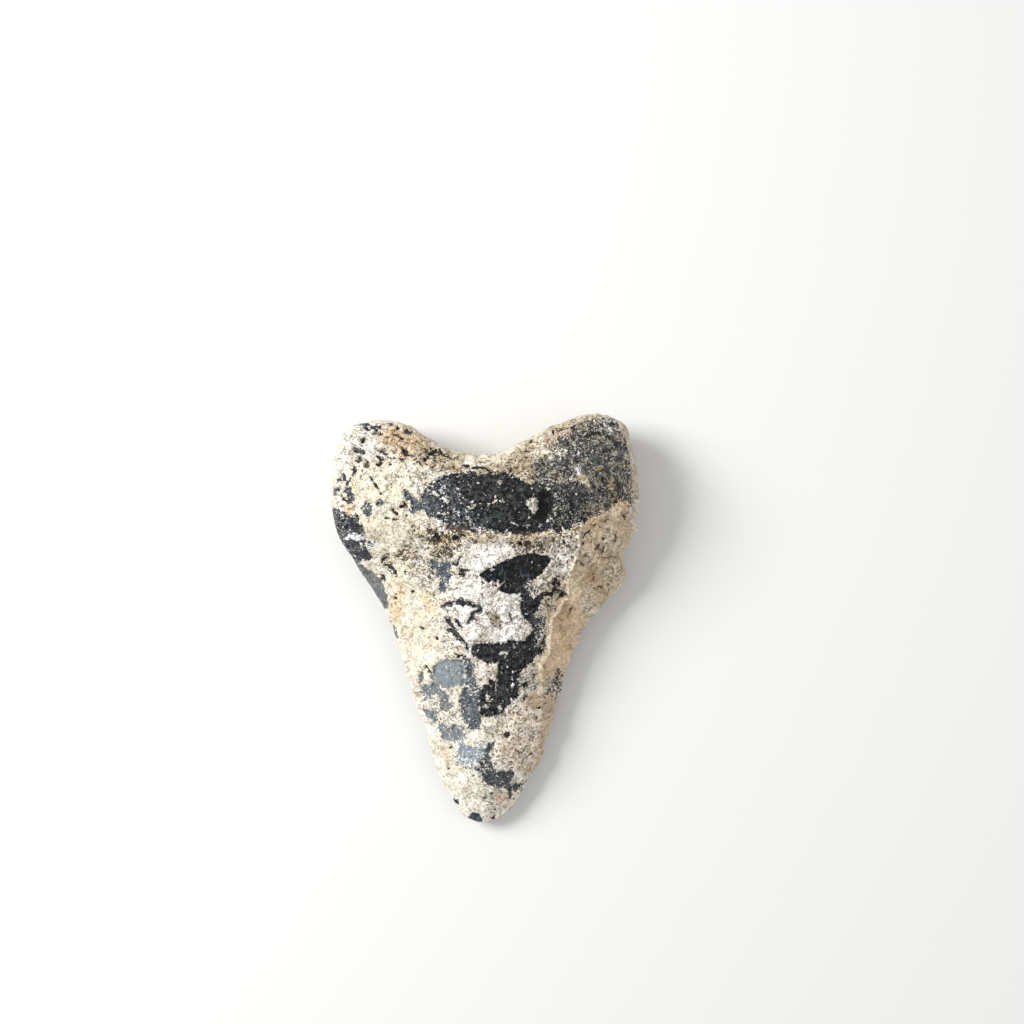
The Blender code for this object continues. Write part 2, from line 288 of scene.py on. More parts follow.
# Chips and specks of crust that are left on the bare places.
CHIPS = [
    [(9.4, 23.8, 0.8), (10.1, 24.4, 0.9), (10.2, 23, 0.8), (10.4, 21.9, 0.45)],
    [(9.3, 20.8, 0.35)],
    [(-3, 22.9, 0.45), (-2.3, 23.1, 0.4)],
    [(28, 41, 0.9), (30.2, 38, 1.2), (31, 34, 1.2), (31.7, 30, 1.1), (32, 27, 0.9)],
    [(11.6, 34.3, 0.35), (13, 34.8, 0.3), (16.4, 34.3, 0.15)],
    [(0, 23.8, 0.05), (1.4, 23.7, 0.1), (2.4, 24.6, 0.1), (4, 24.1, 0)],
    [(3, 28.4, 0.4)],
    [(3.2, -7.7, 0.25), (3.7, -7.4, 0.2), (4.3, -8.6, 0.1)],
    [(4.5, -7.4, 0.2), (4.9, -7.3, 0.15)],
    [(3.6, -10.4, 0.3)],
    [(3.4, -11.5, 0.2)],
    [(6, -5.6, 0.15), (6.2, -6.2, 0.1)],
    [(11.6, -3.6, 0.15), (11.2, -4.6, 0.25), (10.8, -5.8, 0.2)],
    [(4.7, -24.3, 0.2)],
    [(0.7, -13.6, 0.3)],
    [(1.4, -14.1, 0.2)],
    [(0.8, -16.3, 0.35), (0.6, -17.1, 0.3)],
    [(-2, -15.5, 0.2)],
    [(-2.4, -17, 0.2)],
    [(-1.1, -18.4, 0.2), (-1.2, -19.3, 0.2)],
    [(-0.3, -18.6, 0.15), (0.1, -18.2, 0.2), (0.5, -18.7, 0.15)],
    [(2.6, -18.6, 0.15), (3.1, -18.3, 0.2), (3.5, -19, 0.2), (3, -19.5, 0.1)],
    [(2.3, -13.3, 0.1), (2.3, -15, 0.15), (2.2, -16, 0.1)],
    [(-8, -10.2, 0.3), (-7.8, -10.7, 0.2)],
    [(19.6, 29.6, 0.6), (20.6, 29, 0.8), (21.2, 28.2, 0.6)],
    [(22.8, 30.8, 0.5), (24.2, 31.4, 0.5)],
    [(21.2, 27.6, 0.4), (22, 27.6, 0.3)],
    [(25, 29.6, 0.25), (26, 28.2, 0.3), (26.6, 26.8, 0.25)],
    [(-1.4, -10.6, 0.9), (-0.6, -11.4, 1.5), (-0.8, -12.6, 1.1), (-0.6, -13.6, 0.6)],
    [(0, -10.6, 0.7), (1.2, -11.2, 0.9), (2, -10.6, 0.5)],
    [(-1.5, -12, 0.8), (-2, -11.6, 0.5)],
    [(-26.6, 17.2, 0.5), (-26.2, 16.8, 0.4)],
    [(-24.6, 11, 0.35), (-23.7, 10.2, 0.5), (-23.2, 9.9, 0.3)],
]
# Smaller ones, bleached whiter than the rest.
WHITE_CHIPS = [
    [(-24.7, 23.5, 0.12)], [(-25.2, 22.9, 0.15)], [(-24.3, 22.7, 0.12)], [(-23.9, 21.9, 0.1)],
    [(-15.9, 24, 0.3), (-15.8, 23.4, 0.3)], [(-16.7, 23.1, 0.2)],
    [(-29.4, 21.4, 0.15), (-29.2, 20.8, 0.15)], [(-28.4, 16.8, 0.2)],
    [(-8.7, 24.9, 0.35), (-7.7, 24.2, 0.3)], [(-8.3, 21.6, 0.4)], [(-9.2, 26.5, 0.3), (-8.8, 26.9, 0.2)],
    [(-10.6, 26, 0.35), (-9.8, 25.5, 0.3)], [(-9.6, 19.7, 0.6), (-8.6, 19.1, 0.5)], [(-9.4, 21.8, 0.25)],
    [(-3.3, 21, 0.25), (-2.9, 20.2, 0.3)], [(-3.9, 22.4, 0.25), (-3.8, 22, 0.2)], [(-5.2, 26.1, 0.2)],
    [(-5.4, 21.4, 0.2)], [(-6.4, 19.5, 0.2)], [(-3.4, 27.8, 0.15)], [(-1.5, 28.2, 0.15)],
    [(-1.4, 18.1, 0.2), (-0.8, 18.6, 0.1)], [(6.2, 19.5, 0.22)], [(6.8, 19.2, 0.2)], [(4.5, 18.2, 0.22)],
    [(2.4, 25.4, 0.2)], [(11.4, 18.9, 0.35), (12, 19.4, 0.2)], [(13.4, 20.1, 0.15), (14, 20.4, 0.15)],
    [(13.5, 24.2, 0.15)],
    [(17.4, 30.2, 0.1), (18.4, 30, 0.2), (18.3, 29.2, 0.2), (19, 28.4, 0.15), (20, 27.7, 0.1)],
    [(19.6, 31, 0.25)], [(22.3, 31.8, 0.2)], [(24.3, 35.4, 0.22)], [(19.4, 34.3, 0.15)],
    [(29.2, 26.6, 0.15)], [(22.6, 38.8, 0.05), (24.4, 39.3, 0.1), (26.4, 38.9, 0.05)], [(25.1, 40.1, 0.2)],
    [(-4.2, -10.2, 0.1), (-4.2, -11.5, 0.22), (-4.1, -12.8, 0.12)],
    [(-4.7, -14.8, 0.15), (-4.2, -14.2, 0.2), (-3.5, -14.4, 0.25), (-3.2, -15.4, 0.2), (-2.8, -16.4, 0.1)],
    [(-2.1, -14.7, 0.15)], [(-0.6, -14.8, 0.15)], [(-9, -13, 0.1)], [(6, -11.3, 0.18)],
    [(6.6, -11.4, 0.12)], [(5.8, -12.8, 0.28)], [(5.9, -14, 0.3), (5.8, -14.5, 0.25)], [(5.7, -15.4, 0.12)],
    [(2.7, 6.4, 0.25), (1.5, 7.6, 0.12)], [(2.7, 6.4, 0.25), (2.7, 7.6, 0.12)],
    [(2.7, 6.4, 0.25), (4.2, 7.5, 0.12)], [(1.2, 10.1, 0.1), (1.8, 10, 0.15)],
    [(10.4, -2.9, 0.05), (10.8, -4, 0.1)], [(15.8, 15.6, 0.12), (16.4, 15, 0.1)],
    [(16.8, 16.2, 0.12), (17.2, 15.6, 0.1)], [(14.9, 6.9, 0.2)], [(16, 5.8, 0.15)],
]
# Dark worm-eaten lines and thin slivers of enamel between the crust's lumps.
WORM_LINES = [
    [(-6.5, 11, 0.3), (-5.6, 10.8, 0.3), (-5.4, 12.2, 0.2), (-5.2, 12.8, 0.2)],
    [(-4.9, 9.9, 0.3), (-4.3, 9.9, 0.35), (-3.2, 9.8, 0.25)],
    [(-4.8, 9.2, 0.25), (-4.2, 9, 0.3)],
    [(-9, 2.4, 0.3), (-8, 2.6, 0.4), (-7.2, 2.9, 0.65), (-6.5, 3.4, 0.35)],
    [(-5.6, 3.3, 0.5), (-5, 3.6, 0.6), (-4.6, 2.8, 0.65), (-3.8, 2.9, 0.45), (-2.6, 3.1, 0.4),
     (-1.9, 2.4, 0.45), (-1.4, 2.4, 0.6), (-1.1, 1.7, 0.5), (-1.8, 1.2, 0.45)],
    [(-2.3, 1.1, 0.4), (-2.6, 0.3, 0.5), (-3.1, -0.5, 0.45), (-3.8, -1.2, 0.3)],
    [(-8.2, -0.2, 0.3), (-7.4, -0.8, 0.55), (-6.8, -1.6, 0.5), (-6.4, -2.2, 0.35)],
    [(-6.1, -0.4, 0.25), (-5.4, -1, 0.3), (-4.8, -1.8, 0.25)],
    [(-7.7, -2.5, 0.4), (-6.8, -2.8, 0.5), (-6, -3.4, 0.55), (-5.5, -4.2, 0.6), (-4.9, -5, 0.5),
     (-4.2, -5.5, 0.4)],
    [(5.2, 1, 0.2), (5.6, -0.3, 0.25)],
    [(-12.2, -10.2, 0.2), (-11.4, -11, 0.2)],
    [(-5.8, -7.3, 0.25), (-5, -7.9, 0.3), (-4.7, -7.6, 0.25)],
    [(-4.2, -5.6, 0.25), (-3.8, -6.2, 0.25), (-3.7, -7.2, 0.2)],
    [(-20.6, 10.9, 0.3), (-19.7, 10.4, 0.5), (-18.7, 9.4, 0.45), (-18.2, 8.9, 0.3)],
    [(-20.4, 12.2, 0.25), (-21, 12.1, 0.2)],
    [(-16.6, 12.3, 0.25), (-15.9, 12.4, 0.3)],
    [(-28.4, 15.9, 0.3), (-26.4, 15.8, 0.35), (-24.8, 16.3, 0.25)],
    [(-27.3, 19.4, 0.2), (-26, 17.8, 0.2)],
    [(-16.5, 9.6, 0.2), (-16, 9.9, 0.2), (-15.5, 9.7, 0.2), (-15.2, 9, 0.2)],
    [(-27.3, 39.7, 0.25), (-25.6, 40.2, 0.42), (-24.5, 40.4, 0.35)],
    [(-23.6, 39.9, 0.3), (-22.4, 39.8, 0.5), (-21.7, 39.8, 0.3)],
    [(-22.3, 39.3, 0.35), (-22.3, 38.8, 0.28), (-23.2, 38.3, 0.2)],
    [(-22.2, 38.8, 0.22), (-21.4, 38.4, 0.25)],
    [(-24.7, 39.4, 0.25), (-24, 39.4, 0.25)],
    [(-29.4, 38, 0.25), (-28.9, 38.6, 0.25)],
    [(-26.3, 37.2, 0.12), (-25.1, 37.4, 0.12)],
    [(-19.7, 40.4, 0.25), (-19, 40.2, 0.2)],
    [(-27.4, 31.3, 0.25), (-27.2, 30.7, 0.3), (-27.3, 30, 0.25), (-27.9, 29.3, 0.2), (-28.3, 28.4, 0.25),
     (-28.8, 28, 0.3), (-28.6, 27.2, 0.3)],
    [(-28.8, 28.2, 0.2), (-29.5, 28.6, 0.2), (-30.4, 28.5, 0.2)],
    [(-29.9, 26.8, 0.2), (-29.9, 25.2, 0.2), (-28.9, 24.3, 0.2), (-28, 23.9, 0.2)],
    [(-26, 13.8, 0.5), (-25, 13.6, 0.8), (-24.2, 12.9, 0.6), (-23.6, 12.6, 0.3)],
    [(-21.2, 8.5, 0.5), (-20.9, 8, 0.4)],
    [(7.2, -13.9, 0.3), (8.4, -13.8, 0.4), (9.2, -13.5, 0.3)],
    [(8, -16.8, 0.4), (8.8, -16.2, 0.3)],
    [(-6.4, -37.5, 0.2), (-5.9, -38, 0.2), (-5.6, -38.3, 0.2)],
]
PITS = [
    [(-27.2, 35.3, 0.45), (-26.4, 35, 0.65), (-25.6, 34.9, 0.6), (-25.1, 34.6, 0.3)],
    [(-26.2, 33.5, 0.3), (-26.1, 33, 0.4), (-26.5, 32.7, 0.3)],
    [(-24.4, 33, 0.25), (-24.5, 32.2, 0.5), (-24.7, 31.7, 0.5)],
    [(-22.5, 33.6, 0.25), (-21.9, 33.4, 0.4), (-21.4, 33.2, 0.3)],
    [(-22.2, 32, 0.4), (-21.8, 32.3, 0.3)],
    [(-21.8, 34.6, 0.3), (-21.3, 34.9, 0.3), (-20.7, 34.2, 0.3)],
    [(-17.1, 35.4, 0.35), (-16.7, 34.9, 0.55), (-16.3, 34.3, 0.5), (-15.6, 34, 0.25), (-14.6, 33.8, 0.2)],
    [(-16.2, 38.9, 0.4), (-15.4, 38.7, 0.25)],
    [(4.7, -24.3, 0.6)],
    [(-17.5, 23.2, 0.35), (-16.5, 23.1, 0.3), (-16.9, 24, 0.3)],
]
CRACKS = [
    [(-18.5, 37.9, 0.2), (-17.6, 38, 0.2), (-17, 37.3, 0.2)],
    [(-20, 33.4, 0.2), (-18.6, 33.3, 0.2), (-17.5, 33.2, 0.25), (-17, 32.8, 0.2)],
    [(-23.9, 29.3, 0.2), (-23.2, 28.3, 0.22), (-22.4, 27.1, 0.2), (-21.6, 25.9, 0.2)],
    [(-19.3, 22.5, 0.3), (-18.7, 22, 0.3), (-18.3, 21.7, 0.3)],
    [(-20.5, 20.8, 0.2), (-19.4, 20.6, 0.25), (-18, 20.7, 0.2)],
    [(-11.2, 34.3, 0.25), (-10.2, 34.7, 0.3), (-8.6, 34.1, 0.3), (-7.2, 33.5, 0.2)],
    [(-2.6, 31.2, 0.2), (-1.6, 31.5, 0.25), (0, 31.4, 0.2), (0.8, 30.7, 0.2)],
    [(-4.6, 32, 0.25), (-3.6, 31.7, 0.2)],
    [(14.2, 39, 0.12), (14.3, 38, 0.15), (15, 37.6, 0.12)],
    [(14.6, 39.4, 0.12), (16.5, 39.3, 0.15), (18.2, 39.7, 0.1)],
    [(22.2, 38.4, 0.05), (23.8, 38.9, 0.1)],
    [(20.9, 37.9, 0.1), (22, 37.7, 0.1)],
    [(20.9, 17.2, 0.1), (22, 18.3, 0.15), (23.2, 19.4, 0.15)],
    [(0.8, -38.4, 0.2), (1.4, -38.9, 0.2)],
]
FOLDS = [
    [(27.7, 17.8, 0.12), (27.4, 16.8, 0.2), (26.9, 16, 0.12)],
    [(19, 12, 0.12), (18.6, 10.9, 0.12), (17.9, 10.2, 0.1)],
    [(20, 11.4, 0.1), (20.6, 10.8, 0.15)],
    [(22.8, 9.6, 0.1), (22.6, 8, 0.1)],
    [(25.2, 12.2, 0.15), (26.2, 12.8, 0.1), (27, 12.6, 0.1)],
    [(21, 13, 0.15), (21.8, 12.8, 0.15)],
    [(23.2, 14.4, 0.12), (23.6, 15.2, 0.12)],
    [(24.6, 17, 0.1), (24.9, 15.6, 0.1), (24.2, 13.4, 0.1)],
    [(16.8, 6.8, 0.1), (16.9, 5, 0.15)],
    [(22.4, 6.2, 0.1), (24.4, 6.3, 0.1)],
    [(25.6, 20.6, 0.15), (25, 20.1, 0.12)],
    [(28.8, 21.2, 0.08), (29.6, 19.4, 0.08)],
    [(18, 2.2, 0.12), (17.6, 1.4, 0.12)],
    [(13.2, -2, 0.1), (13.3, -6.4, 0.1)],
    [(10.9, -20.4, 0.12), (10.8, -21.6, 0.12)],
    [(10.4, -26.6, 0.2)],
    [(9.8, -28.2, 0.15)],
    [(10.8, -18.8, 0.12), (11.4, -18.6, 0.12)],
]
DOTS = [
    (-25.2, 36.8, 0.2), (-25.4, 35.9, 0.2), (-18.2, 39.7, 0.2), (-17.6, 37, 0.2), (-17.8, 35.4, 0.2),
    (-25.9, 29.4, 0.25), (-25.5, 30.8, 0.2), (-21.5, 30.9, 0.2), (-19.7, 32.2, 0.2), (-17.7, 29.6, 0.2),
    (-20.2, 27.2, 0.2), (-19.5, 27.4, 0.15), (-16.5, 21.2, 0.2), (-4.3, 31.9, 0.2), (-8.2, 32.4, 0.2),
    (-14.9, 5.2, 0.2), (-18.3, 5, 0.2), (-18.3, 4.2, 0.2), (-13.1, -1.6, 0.2), (-12.7, -2.1, 0.2),
    (-10.1, -4.3, 0.2), (-5.5, -8, 0.2), (2.5, -2.7, 0.2), (-0.5, 4.9, 0.2), (-0.7, 7.5, 0.2),
    (14.9, 8, 0.15), (14.6, 7.2, 0.15), (15.5, 6.9, 0.2), (14.2, 5.7, 0.15), (15.2, 5.5, 0.2),
    (16.2, 4.8, 0.2), (16.5, 6.1, 0.15), (15.2, 3.9, 0.2), (16, 7.6, 0.1), (11, -18.6, 0.25),
    (27.5, 17.3, 0.15), (1.6, -36.5, 0.2), (0.2, -37.6, 0.2), (0.3, -38.1, 0.25), (2, -41.2, 0.2),
    (2.2, -40.2, 0.15), (-9.6, -27.1, 0.2), (-7.4, -27.1, 0.2), (-7.6, -31.4, 0.2), (-2.3, -33, 0.2),
    (-10, 17.3, 0.25), (-9.4, 16.5, 0.25), (-8.6, 17.6, 0.25), (-6.2, 16.4, 0.3), (-6.4, 14.5, 0.15),
    (-4.3, 16.6, 0.2), (-10.6, 15.6, 0.15), (-13.2, 15.5, 0.15), (-11.6, 14.6, 0.15), (-12.4, 33, 0.25),
    (-11.6, 33.6, 0.2), (-12, 32, 0.2), (-10.6, 33, 0.2), (15.6, 15.1, 0.25), (16.6, 15.5, 0.2),
    (17.3, 14.8, 0.2), (16.2, 16.1, 0.15), (19.3, 16.8, 0.15), (20.4, 17.2, 0.2), (20.7, 16.6, 0.2),
    (21.4, 16.4, 0.2), (19.4, 16, 0.15), (20.4, 15.6, 0.15), (7.4, 15.6, 0.25), (6.6, 13.4, 0.15),
    (9.6, 36.8, 0.2), (8.4, 34.8, 0.2), (21.3, 3.7, 0.15), (19.2, 12, 0.1), (20.4, 10.9, 0.15),
    (24.4, 12.8, 0.1), (18.6, 37.5, 0.15), (24.5, 37.9, 0.15), (18.6, 40.4, 0.15),
]
# Bare places on the underside.
UNDER_BONE = [
    [(-24, 30, 4), (-17, 27, 4.6), (-9, 24.5, 3.4), (-4, 23, 1.6)],
    [(14, 26, 2.6), (20, 30, 5), (24, 34, 4), (26, 37, 2)],
    [(2, 28, 1.4), (6, 29, 1)],
    [(-26, 20, 1.6), (-22, 17, 1.2)],
]
UNDER_ENAMEL = [
    [(-12, 12, 1), (-8, 9, 3), (-3, 7, 4.2), (2, 3, 3.4), (3, -3, 2.6), (1, -8, 1.6)],
    [(10, 12, 1), (14, 9, 2.4), (16, 4, 1.6)],
    [(-12, -4, 1.6), (-9, -10, 2.4), (-8, -15, 1.4)],
    [(5, -14, 1.8), (5, -19, 2.8), (3, -24, 2.4), (1, -28, 1.2)],
    [(-3, -33, 1.4), (-2, -37, 1.8)],
]
UNDER_GREY = [
    [(-4, -14, 1.4), (-3, -19, 2), (-4, -24, 1.6)],
    [(-16, 6, 1.4), (-14, 2, 1.6)],
]
UPPER = 1.0
UNDER = -1.0
OTHER_FACE = 5.0              # how far outside every stroke a point on the other face counts
# What shows where the crust is gone, laid over one another in this order: on which face, how far
# its outline wanders, its colour, how deep it lies (mm), how much of the crust still clings to
# it, how soft its outline is (mm), and how frosted and how speckled it is.
SURFACES = [
    (ROOT_BONE, UPPER, 1.0, (20, 22, 25), 0.35, 0.02, 1.2, 0.08, 0.45),
    (FROSTED_BONE, UPPER, 1.0, (24, 30, 37), 0.30, 0.05, 1.4, 0.15, 1.1),
    (WORN_BONE, UPPER, 1.0, (30, 31, 31), 0.30, 0.14, 2.0, 0.15, 0.9),
    (POROUS_BONE, UPPER, 1.0, (50, 50, 49), 0.30, 0.42, 2.4, 0.15, 0.9),
    (LICHEN_BONE, UPPER, 1.0, (44, 44, 43), 0.30, 0.50, 1.6, 0.30, 0.6),
    (VESSEL_HOLE, UPPER, 1.0, (26, 26, 27), 0.35, 0.00, 1.2, 0.0, 0.10),
    (SLATE_BONE, UPPER, 0.6, (52, 60, 69), 0.35, 0.03, 0.6, 0.3, 0.8),
    (SHOULDER, UPPER, 0.7, (22, 27, 34), 0.25, 0.05, 0.9, 0.2, 0.9),
    (FROSTED_SHOULDER, UPPER, 0.7, (34, 40, 47), 0.20, 0.66, 0.9, 0.3, 1.4),
    (BLADE_STRIP, UPPER, 0.5, (118, 121, 118), 0.25, 0.02, 0.6, 0.2, 0.2),
    # Brown stains, and along the ledge's foot a painted shadow.
    (BROWN_STAIN_AND_LEDGE_SHADOW, UPPER, 1.0, (92, 75, 56), 0.30, 0.60, 1.8, 0.0, 0.60),
    (DARK_ENAMEL, UPPER, 0.5, (15, 17, 19), 0.45, 0.015, 0.45, 0.04, 0.16),
    (SPECKLED_ENAMEL, UPPER, 0.6, (16, 18, 21), 0.45, 0.015, 0.5, 0.08, 0.50),
    (PATCHY_ENAMEL, UPPER, 0.7, (30, 30, 31), 0.35, 0.40, 1.0, 0.2, 1.2),
    (GREY_ENAMEL, UPPER, 0.8, (138, 148, 151), 0.35, 0.03, 0.5, 0.30, 0.35),
    (SMOKY_ENAMEL, UPPER, 0.9, (118, 126, 129), 0.35, 0.08, 0.8, 0.30, 0.70),
    (BLUE_ENAMEL, UPPER, 0.6, (72, 84, 95), 0.40, 0.08, 0.7, 0.25, 1.1),
    (FROSTED_ENAMEL, UPPER, 1.0, (158, 173, 181), 0.30, 0.36, 1.4, 0.6, 1.4),
    (TIP_ENAMEL, UPPER, 0.5, (68, 74, 77), 0.40, 0.06, 0.6, 0.12, 0.70),
    (WORM_LINES, UPPER, 0.5, (38, 40, 43), 0.45, 0.05, 0.7, 0.1, 0.4),
    (PITS, UPPER, 0.35, (66, 59, 52), 0.80, 0.00, 0.5, 0.1, 0.3),
    (CRACKS, UPPER, 0.3, (44, 39, 33), 0.30, 0.10, 0.5, 0.0, 0.0),
    (FOLDS, UPPER, 0.4, (112, 88, 62), 0.25, 0.15, 0.5, 0.0, 0.0),
    ([[dot] for dot in DOTS], UPPER, 0.55, (44, 39, 35), 0.50, 0.00, 0.6, 0.0, 0.0),
    (UNDER_BONE, UNDER, 1.2, (36, 37, 39), 0.30, 0.12, 2.0, 0.3, 0.8),
    (UNDER_ENAMEL, UNDER, 1.0, (28, 30, 34), 0.30, 0.04, 0.8, 0.2, 0.4),
    (UNDER_GREY, UNDER, 1.0, (104, 113, 118), 0.30, 0.04, 0.8, 0.4, 0.3),
]


def linear(colour):
    """An 0-255 screen colour as light."""
    share = np.array(colour, float) / 255
    return np.where(share <= 0.04045, share / 12.92, ((share + 0.055) / 1.055) ** 2.4)


EYE = (5.66, 22.45, 450.0)    # the strokes are drawn as this eye sees them from above the table
SHEET = (5.66, 22.05, 8.0)    # its view's middle in the strokes' own numbers, and their height


def seen_from_above(spots):
    """Where the eye sees each spot among the strokes."""
    nearer = (EYE[2] - SHEET[2]) / (EYE[2] - spots[:, 2])
    return (spots[:, :2] - EYE[:2]) * nearer[:, None] + SHEET[:2]


def waves(layers):
    """Several ripples laid together, each as (height, wavelength, seed)."""
    return sum(height * ripple(wavelength, seed) for height, wavelength, seed in layers)


CLUMPING = 1.2                # how unevenly the crust clings, against its mean
FACING_ROUNDS = 12            # rounds of easing that level out single lumps' own directions
plan = seen_from_above(places)
wobble = np.column_stack([waves([(0.70, 2.6, 1), (0.45, 0.9, 3)]), waves([(0.70, 2.6, 2), (0.45, 0.9, 4)])])
fray = waves([(0.35, 0.8, 5), (0.30, 1.7, 6)])
clumps = CLUMPING * ripple(1.6, 7)
facing_up = eased(facing[:, 2], FACING_ROUNDS)
upper = step(-0.45, -0.05, facing_up)

# The painter's rounds: each kind of bare place goes over the ones before it.
HIDDEN_CORE = ((46, 46, 47), 0.3)   # colour and depth of the dark ground that no stroke reaches
CORE_SPREAD = (0.2, 0.1)      # its colour starts this far outside a stroke, and is full this far out
CHIP_WANDER = 0.25            # a chip's outline wanders less than a bare place's
CHIP_FRAY = 0.3
bare = np.zeros(count)
core_tint = np.tile(linear(HIDDEN_CORE[0]), (count, 1))
sink = np.full(count, HIDDEN_CORE[1])
frost = np.zeros(count)
specks = np.zeros(count)
for strokes, face, wander, colour, deep, left, edge, frosted, speckled in SURFACES:
    depth = depth_in_any(plan + wobble * wander, strokes) + fray * wander * min(1.0, 0.4 + edge)
    depth -= OTHER_FACE * (1 - upper if face == UPPER else upper)
    inside = step(-edge / 2, edge / 2, depth)
    left_on = np.clip(left * (1 + clumps), 0.0, 1.0)
    bare += (1 - left_on - bare) * inside
    around = step(-edge - CORE_SPREAD[0], -CORE_SPREAD[1], depth)
    core_tint += (linear(colour) - core_tint) * around[:, None]
    sink += (deep - sink) * around
    frost += (frosted - frost) * around
    specks += (speckled - specks) * around
chip_depth = depth_in_any(plan + CHIP_WANDER * wobble, CHIPS + WHITE_CHIPS) + CHIP_FRAY * fray
bare *= step(0.25, -0.25, chip_depth)

